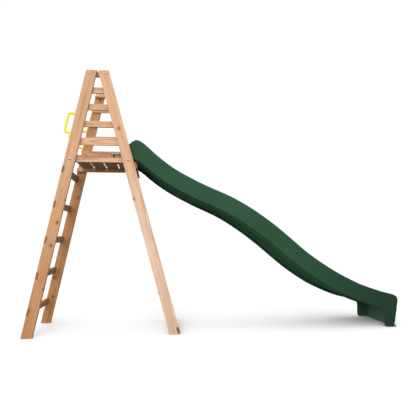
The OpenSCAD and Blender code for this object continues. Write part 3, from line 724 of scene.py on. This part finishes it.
# === Grab handles ===
# Two bows moulded in yellow plastic, to hold when stepping on to the deck. Each is screwed to the outer
# edge of a ladder leg through a pad at each of its two arms.
HANDLE_SPAN, HANDLE_OUT, HANDLE_R, HANDLE_BEND = 0.171, 0.057, 0.011, 0.026
PAD_R, PAD_T, PAD_SCREW = 0.014, 0.009, 0.030
ROOT = 0.004                                             # the bow's tube starts this far inside its pad
FLARE, FLARE_RUN, SWELL = 0.0030, 0.005, 0.0006          # how the tube widens at its roots and in the grip
yellow_plastic = plastic("yellow_plastic", base=linear(250, 214, 40), worn=linear(255, 232, 96), polish=0.30,
                         bump_depth=0.0002)


def handle_place(side):
    """The middle of a handle's back on the leg's edge; the handle is symmetrical above and below it."""
    low, high = np.array(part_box("grab_handle_" + side))
    z = (low[2] + high[2]) / 2 - PAD_T * math.sin(ladder_lean) / 2
    foot_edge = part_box("ladder_leg_" + side)[0][0]
    return np.array([foot_edge + z * math.tan(ladder_lean), (low[1] + high[1]) / 2, z])


def tube(path, radius, way_out):
    """A round tube: circles of the given radii, square to a path that lies in one plane.

    Each circle is centre + radius * (cos * side + sin * way_out), way_out being square to the plane."""
    ahead = unit(np.gradient(path, axis=0))
    side = np.cross(ahead, way_out)
    angle = np.linspace(0, 2 * math.pi, 29)[:-1]
    ring_points = (path[:, None, :] + radius[:, None, None] * (np.cos(angle)[None, :, None] * side[:, None, :]
                   + np.sin(angle)[None, :, None] * way_out))
    count, around = ring_points.shape[:2]
    tube_faces = quads(count, around, wrap_columns=True)[:, ::-1].tolist()
    tube_faces += [list(range(around)), list(range((count - 1) * around, count * around))[::-1]]
    return ring_points.reshape(-1, 3), tube_faces


def grab_handle(side):
    """The bow and its two pads as one mesh."""
    place = handle_place(side)
    to_world = np.array([out_of_ladder, (0.0, 1.0, 0.0), up_ladder])     # rows: outwards, across, up the leg
    half_span, straight_end = HANDLE_SPAN / 2, HANDLE_OUT - HANDLE_BEND
    arm = straight((ROOT, half_span), (straight_end, half_span), 8)
    bend = np.radians(np.linspace(90, 0, 14))[1:]
    arc = np.column_stack([straight_end + HANDLE_BEND * np.cos(bend),
                           half_span - HANDLE_BEND + HANDLE_BEND * np.sin(bend)])
    upper = np.vstack([[(ROOT, half_span)], arm, arc])
    middle_run = straight(upper[-1], upper[-1] * (1, -1), 12)
    path = np.vstack([upper, middle_run, (upper * (1, -1))[::-1][1:]])
    on_arm, on_grip = np.abs(path[:, 1]) > half_span - 0.001, path[:, 0] > HANDLE_OUT - 0.007
    flare = FLARE * np.exp(-np.maximum(path[:, 0] - PAD_T, 0) / FLARE_RUN) * on_arm
    swell = SWELL * np.cos(np.clip(path[:, 1] / half_span, -1, 1) * math.pi / 2) * on_grip
    local = np.column_stack([path[:, 0], np.zeros(len(path)), path[:, 1]])
    points, faces = tube(local @ to_world, HANDLE_R - SWELL + flare + swell, np.array([0.0, 1.0, 0.0]))
    parts, all_faces, start = [points + place], faces, len(points)
    # A pad is a stadium outline stepped in towards its top: (inset, height) of each ring
    steps_in = np.array([(0, 0), (0, 0.0052), (0.0005, 0.0073), (0.0016, 0.0086), (0.0032, PAD_T)])
    around = np.radians(np.linspace(0, 360, 41)[:-1])
    for sign in (-1, 1):
        centre = np.where(np.sin(around) >= 0, half_span + PAD_SCREW, half_span)
        radius = (PAD_R - steps_in[:, :1])
        ring_y = radius * np.cos(around)
        ring_z = sign * (centre + radius * np.sin(around))
        pad = np.stack([np.broadcast_to(steps_in[:, 1:], ring_y.shape), ring_y, ring_z], axis=-1)
        pad_faces = quads(len(steps_in), around.size, wrap_columns=True)
        last_ring = list(range((len(steps_in) - 1) * around.size, len(steps_in) * around.size))
        caps = [list(range(around.size))[::-1], last_ring]
        pad_faces = [f[::-sign] for f in pad_faces.tolist() + caps]
        all_faces = all_faces + [[v + start for v in f] for f in pad_faces]
        parts.append(pad.reshape(-1, 3) @ to_world + place)
        start += pad.shape[0] * pad.shape[1]
    made = make_piece("handle_bow_" + side, np.vstack(parts), all_faces, yellow_plastic,
                      ["grab_handle_" + side])
    made.data.set_sharp_from_angle(angle=math.radians(40))


for side in ("right", "left"):
    grab_handle(side)


# === Bolts, nuts, washers, screws and caps ===
# Zinc-plated coach bolts with domed heads on the legs' outer faces, nuts and washers inside, countersunk
# wood screws with a cross recess, and yellow plastic caps snapped over the handles' screws.
zinc, zinc_in, zinc_out = new_group(
    "zinc_plate", [("Place", "Vector"), ("Bright", "Color"), ("Dull", "Color")],
    [("Color", "Color"), ("Roughness", "Float"), ("Height", "Float")])
spangle = noise(zinc, zinc_in["Place"], scale=420.0, detail=3.0)
bloom = noise(zinc, zinc_in["Place"], scale=90.0, detail=2.0)
zinc.links.new(blend(zinc, calc(zinc, "MULTIPLY", bloom, spangle), zinc_in["Bright"], zinc_in["Dull"]),
               zinc_out.inputs["Color"])
zinc.links.new(summed(zinc, 0.20, (bloom, 0.0, 0.25)), zinc_out.inputs["Roughness"])
zinc.links.new(spangle, zinc_out.inputs["Height"])


def metal(name, bright, dull):
    """A plated steel finish between a bright and a dull tone."""
    return group_finish(name, zinc, {}, {"Bright": bright, "Dull": dull}, (0.15, 0.0001), {"Metallic": 0.9})


zinc_plate = metal("zinc_plate", bright=linear(226, 230, 236), dull=linear(150, 156, 164))
bronze_plate = metal("bronze_plate", bright=linear(92, 76, 60), dull=linear(46, 38, 32))


def turned(name, heights, radii, places, inward, finish, nodes, closed=False, around=32):
    """Copies of one turned shape: at each place, point = place + height * inward + radius * (cos, sin).

    heights and radii have one row a ring and, where the shape isn't round, one column an angle. A closed
    shape joins its last ring to its first; an open one starts and ends on the axis."""
    angle = np.linspace(0, 2 * math.pi, around + 1)[:-1]
    heights = np.broadcast_to(np.asarray(heights, float).reshape(len(heights), -1), (len(heights), around))
    radii = np.broadcast_to(np.asarray(radii, float).reshape(len(radii), -1), (len(radii), around))
    places, axis = np.atleast_2d(places), unit(np.atleast_2d(inward))
    axis = np.broadcast_to(axis, places.shape)
    helper = np.where(np.abs(axis[:, 2:]) < 0.9, (0.0, 0.0, 1.0), (1.0, 0.0, 0.0))
    u = unit(np.cross(helper, axis))
    v = np.cross(axis, u)
    shape = (places[:, None, None, :] + heights[None, :, :, None] * axis[:, None, None, :]
             + (radii * np.cos(angle))[None, :, :, None] * u[:, None, None, :]
             + (radii * np.sin(angle))[None, :, :, None] * v[:, None, None, :])
    one_shape = quads(len(heights), around, wrap_rows=closed, wrap_columns=True)[:, ::-1]
    shift = (np.arange(len(places)) * len(heights) * around)[:, None, None]
    faces = (one_shape[None] + shift).reshape(-1, 4).tolist()
    made = make_piece(name, shape.reshape(-1, 3), faces, finish, nodes)
    close_seams(made)
    made.data.set_sharp_from_angle(angle=math.radians(35))
    return made


stand_h = float(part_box("ladder_leg_right")[1][2])
half_d = float(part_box("ladder_leg_left")[1][1])          # middle plane to a leg's outer face
foot_edge, slide_foot_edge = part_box("ladder_leg_right")[0][0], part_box("slide_leg_right")[1][0]
APEX_BOLT_DROP, APEX_BOLT_IN, APEX_SCREW_IN = 0.025, 0.027, 0.070
deck_bolt_z = float(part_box("deck_beam_right")[0][2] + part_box("deck_beam_right")[1][2]) / 2


def ladder_edge(z):
    """The x of the ladder legs' outer edge at height z."""
    return foot_edge + z * math.tan(ladder_lean)


def slide_edge(z):
    """The x of the slide legs' outer edge at height z."""
    return slide_foot_edge - z * math.tan(slide_lean)


def on_both_frames(x_places, z, y):
    """Places on the right and left frames, at distance y from the middle plane, and the ways into them."""
    points = np.array([(x_place, sign * y, z) for sign in (-1, 1) for x_place in x_places])
    return points, np.column_stack([np.zeros(len(points)), -np.sign(points[:, 1]), np.zeros(len(points))])


apex_z = stand_h - APEX_BOLT_DROP
apex_bolts = on_both_frames((ladder_edge(apex_z) + APEX_BOLT_IN, slide_edge(apex_z) - APEX_BOLT_IN),
                            apex_z, half_d)
deck_bolts = on_both_frames((ladder_edge(deck_bolt_z) + LEG_W / 2, slide_edge(deck_bolt_z) - LEG_W / 2),
                            deck_bolt_z, half_d)
GRIP = 0.080                                             # timber that a coach bolt passes through
# Rings of a bolt, in mm from the leg's face: its dome, the face, its shank and the shank's chamfered end
bolt_heights = np.array([-6, -5.8, -5.1, -3.6, -1.6, -0.4, 0, 0, 93, 94, 94]) / 1000
bolt_radii = np.array([0, 4.0, 7.4, 10.2, 11.3, 11.5, 11.0, 5, 5, 4.2, 0]) / 1000
# A nut's radius at each angle, from its corner radius, and the limit that chamfers its two faces
NUT_R, sixth = 0.0095, math.pi / 3
nut_angle = np.linspace(0, 2 * math.pi, 49)[:-1]
hexagon = NUT_R * math.cos(sixth / 2) / np.cos((nut_angle + sixth / 2) % sixth - sixth / 2)
nut_limits = np.array([5.2, 8.5, 9.5, 9.5, 8.5, 5.2])[:, None] / 1000
nut_heights = GRIP + np.array([2, 2, 3, 9, 10, 10]) / 1000
for name, (places, inward) in (("apex", apex_bolts), ("deck", deck_bolts)):
    turned(name + "_coach_bolts", bolt_heights, bolt_radii, places, inward, zinc_plate,
           [name + "_bolts"])
bolt_places, bolt_inward = (np.vstack(pair) for pair in zip(apex_bolts, deck_bolts))
turned("coach_bolt_washers", GRIP + np.array([0, 0, 0.4, 1.6, 2, 2]) / 1000,
       np.array([5.3, 11.6, 12, 12, 11.6, 5.3]) / 1000, bolt_places, bolt_inward, zinc_plate,
       ["washers"], closed=True)
turned("coach_bolt_nuts", nut_heights, np.minimum(hexagon[None, :], nut_limits), bolt_places, bolt_inward,
       zinc_plate, ["nuts"], closed=True, around=48)

# Screw heads: a low dome of radius 5 mm with a cross recess, which deepens towards the middle on four arms
HEAD_R, HEAD_RISE, RECESS, RECESS_R = 0.005, 0.0004, 0.0014, 0.0031
head_r = np.array([0, 0.8, 1.4, 2.0, 2.6, 3.1, 4.0, 4.7, 5.0, 5.0, 0])[:, None] / 1000
arms = ((np.cos(4 * np.linspace(0, 2 * math.pi, 33)[:-1]) + 1) / 2)[None, :] ** 2
recess = RECESS * np.clip((RECESS_R - head_r) / 0.0008, 0, 1) * np.maximum(arms, head_r < 0.0009)
head_h = recess - HEAD_RISE * (1 - (head_r / HEAD_R) ** 2)
head_h[-2:] = 0.0015


def screws(node, places, inward):
    """The heads of a group of wood screws."""
    turned(node + "_heads", head_h, head_r, places, inward, bronze_plate, [node])


SCREW_GAP, BATTEN_GAP, BRACE_GAP, BOARD_GAP = 0.016, 0.011, 0.014, 0.032
leg_y = half_d - LEG_T / 2
beam_y = float(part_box("deck_beam_left")[0][1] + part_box("deck_beam_left")[1][1]) / 2
screws("apex_screws", *on_both_frames(
    (ladder_edge(apex_z) + APEX_SCREW_IN, slide_edge(apex_z) - APEX_SCREW_IN), apex_z, half_d))
rail_places, rail_ways = [], []
for k in range(RAILS):
    low, high = np.array(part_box(f"guard_rail_left_{k + 1}"))
    z = (low[2] + high[2]) / 2
    points, inward = on_both_frames((ladder_edge(z) + LEG_W / 2, slide_edge(z) - LEG_W / 2), z, low[1])
    rail_places.append(points)
    rail_ways.append(-inward)
screws("rail_screws", np.vstack(rail_places), np.vstack(rail_ways))


def bar_screws(node, up_way, outward, thickness, gap):
    """The two screws at each end of a bar across the stand."""
    low, high = np.array(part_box(node))
    face = (low + high) / 2 + outward * (thickness / 2 + PROUD)
    return np.array([face + (0, sign * leg_y, 0) + up_way * step for sign in (-1, 1) for step in (-gap, gap)])


screws("rung_screws", np.vstack([bar_screws(f"rung_{k + 1}", up_ladder, out_of_ladder, RUNG_T, SCREW_GAP)
                                 for k in range(RUNGS)]), -out_of_ladder)
screws("batten_screws", np.vstack([bar_screws("cross_batten", up_slide, out_of_slide, BATTEN_T, BATTEN_GAP),
                                   bar_screws("foot_brace", up_slide, out_of_slide, RUNG_T, BRACE_GAP)]),
       -out_of_slide)
deck_places = []
for k in range(DECK_BOARDS):
    low, high = np.array(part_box(f"deck_board_{k + 1}"))
    deck_places += [((low[0] + high[0]) / 2 + dx, sign * beam_y, high[2]) for dx in (-BOARD_GAP, BOARD_GAP)
                    for sign in (-1, 1)]
screws("deck_screws", np.array(deck_places), (0, 0, -1))
SLIDE_SCREW_IN, SLIDE_SCREW_Y = 0.018, 0.150
lip_screws = np.array([(apex_x + WALL_X + SLIDE_SCREW_IN, y, LIP_Z)
                       for y in (-SLIDE_SCREW_Y, 0, SLIDE_SCREW_Y)])
# The lip's screws have wider heads that stand on the plastic
turned("slide_screw_heads", head_h - 0.0016 * (head_r < 0.0049), head_r * 1.2, lip_screws, (0, 0, -1),
       zinc_plate, ["slide_screws"])

cap_up = up_ladder * (HANDLE_SPAN / 2 + PAD_SCREW)
cap_places = np.array([handle_place(side) + out_of_ladder * PAD_T + sign * cap_up
                       for side in ("right", "left") for sign in (-1, 1)])
turned("handle_screw_caps", np.array([-7, -6.9, -6.2, -4.6, -2.4, -0.6, 0, 0]) / 1000,
       np.array([0, 2.8, 5.6, 8.0, 9.6, 10, 10, 0]) / 1000, cap_places, -out_of_ladder, yellow_plastic,
       ["handle_caps", "handle_screws"])
